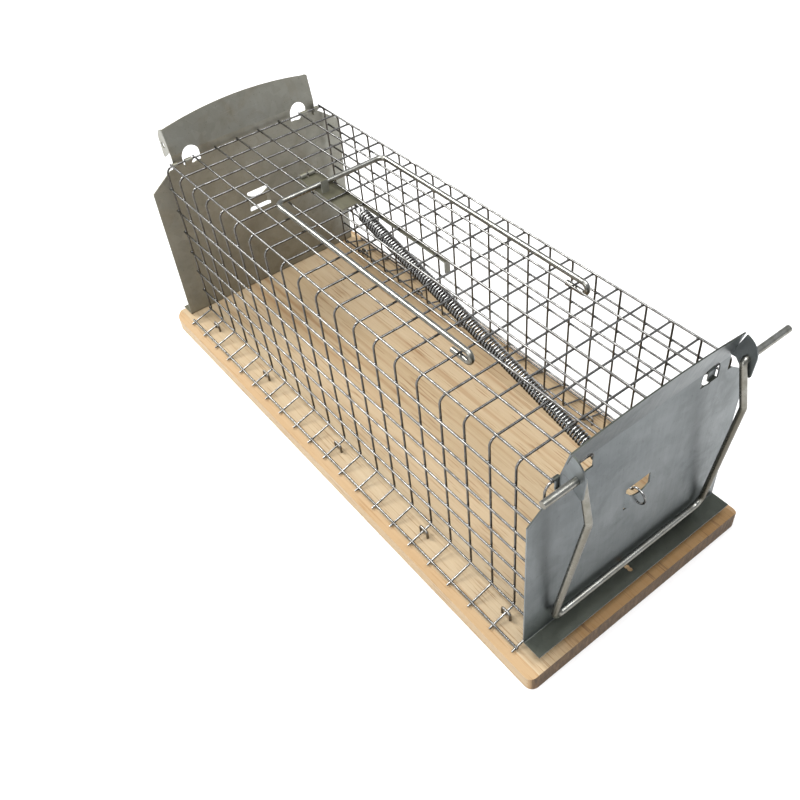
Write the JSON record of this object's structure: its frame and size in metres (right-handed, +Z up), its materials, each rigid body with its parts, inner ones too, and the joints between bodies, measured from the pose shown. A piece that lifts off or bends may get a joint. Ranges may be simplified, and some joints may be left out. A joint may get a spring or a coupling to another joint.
{
  "type": "live catch trap",
  "caption": "Live catch trap: a welded wire cage stapled to a wooden board, with a spring-closed sheet metal door, a wire bail, a setting arm and a bait trigger.",
  "frame": {"origin": "middle of the board's bottom face", "axes": "+X along the cage towards the sprung door, +Y across the cage, +Z up"},
  "size_m": [0.3142, 0.1324, 0.1272],
  "materials": {
    "pine": "planed, unfinished",
    "zinc_sheet": "galvanised, mottled",
    "old_sheet": "galvanised, dull",
    "mesh_wire": "galvanised",
    "arm_wire": "galvanised, satin",
    "spring_wire": "bright",
    "staple_wire": "galvanised",
    "nail_steel": "plain"
  },
  "bodies": {
    "cage": {"base_board": "pine", "rear_plate": "old_sheet", "rear_nails": "nail_steel", "left_staples": "staple_wire", "right_staples": "staple_wire", "left_foot_wire": "mesh_wire", "right_foot_wire": "mesh_wire", "hoop_1": "mesh_wire", "hoop_2": "mesh_wire", "hoop_3": "mesh_wire", "hoop_4": "mesh_wire", "hoop_5": "mesh_wire", "hoop_6": "mesh_wire", "hoop_7": "mesh_wire", "hoop_8": "mesh_wire", "hoop_9": "mesh_wire", "hoop_10": "mesh_wire", "hoop_11": "mesh_wire", "hoop_12": "mesh_wire", "hoop_13": "mesh_wire", "hoop_14": "mesh_wire", "hoop_15": "mesh_wire", "hoop_16": "mesh_wire", "hoop_17": "mesh_wire", "hoop_18": "mesh_wire", "hoop_19": "mesh_wire", "hoop_20": "mesh_wire", "hoop_21": "mesh_wire", "roof_wire_1": "mesh_wire", "roof_wire_2": "mesh_wire", "roof_wire_3": "mesh_wire", "roof_wire_4": "mesh_wire", "roof_wire_5": "mesh_wire", "roof_wire_6": "mesh_wire", "roof_wire_7": "mesh_wire", "roof_wire_8": "mesh_wire", "left_wire_1": "mesh_wire", "left_wire_2": "mesh_wire", "left_wire_3": "mesh_wire", "left_wire_4": "mesh_wire", "left_wire_5": "mesh_wire", "left_wire_6": "mesh_wire", "left_wire_7": "mesh_wire", "right_wire_1": "mesh_wire", "right_wire_2": "mesh_wire", "right_wire_3": "mesh_wire", "right_wire_4": "mesh_wire", "right_wire_5": "mesh_wire", "right_wire_6": "mesh_wire", "right_wire_7": "mesh_wire"},
    "door": {"front_door": "zinc_sheet"},
    "bail": {"bail": "arm_wire"},
    "setting_arm": {"setting_arm": "arm_wire"},
    "trigger": {"trigger": "old_sheet"},
    "spring_front": {"spring_front_hook": "spring_wire"},
    "spring_rear": {"spring_rear_hook": "spring_wire"},
    "spring_coil": {"spring_coils": "spring_wire"}
  },
  "joints": [
    {"name": "door_hinge", "type": "hinge", "parent": "cage", "child": "door", "pos_m": [0.1414, 0, 0.10558], "axis": [0, -1, 0], "range_deg": [0, 72], "stiffness_Nm_per_rad": 0.1, "springref_deg": -60.16},
    {"name": "bail_pivot", "type": "hinge", "parent": "door", "child": "bail", "pos_m": [0.1504, 0, 0.11278], "axis": [0, -1, 0], "range_deg": [0, 165]},
    {"name": "arm_pivot", "type": "hinge", "parent": "cage", "child": "setting_arm", "pos_m": [0.0714, 0, 0.10558], "axis": [0, 1, 0], "range_deg": [0, 120]},
    {"name": "trigger_pivot", "type": "hinge", "parent": "cage", "child": "trigger", "pos_m": [-0.0826, 0, 0.10558], "axis": [0, 1, 0], "range_deg": [0, 20]},
    {"name": "spring_front_pivot", "type": "hinge", "parent": "door", "child": "spring_front", "pos_m": [0.1448, 0, 0.06358], "axis": [0, -1, 0], "range_deg": [-60.95, 0]},
    {"name": "spring_stretch", "type": "slide", "parent": "spring_front", "child": "spring_coil", "axis": [-0.9762, 0, 0.2169], "range_m": [0, 0.03501], "deforming": ["spring_coils"]},
    {"name": "spring_rear_pivot", "type": "hinge", "parent": "cage", "child": "spring_rear", "pos_m": [-0.0406, 0.0028, 0.10558], "axis": [0, 1, 0], "range_deg": [0, 28.1]}
  ],
  "couplings": [
    {"joint": "spring_front_pivot", "follows": "door_hinge", "ratio": -0.84514},
    {"joint": "spring_stretch", "follows": "door_hinge", "m_per_rad": 0.02778},
    {"joint": "spring_rear_pivot", "follows": "door_hinge", "ratio": 0.38889}
  ]
}
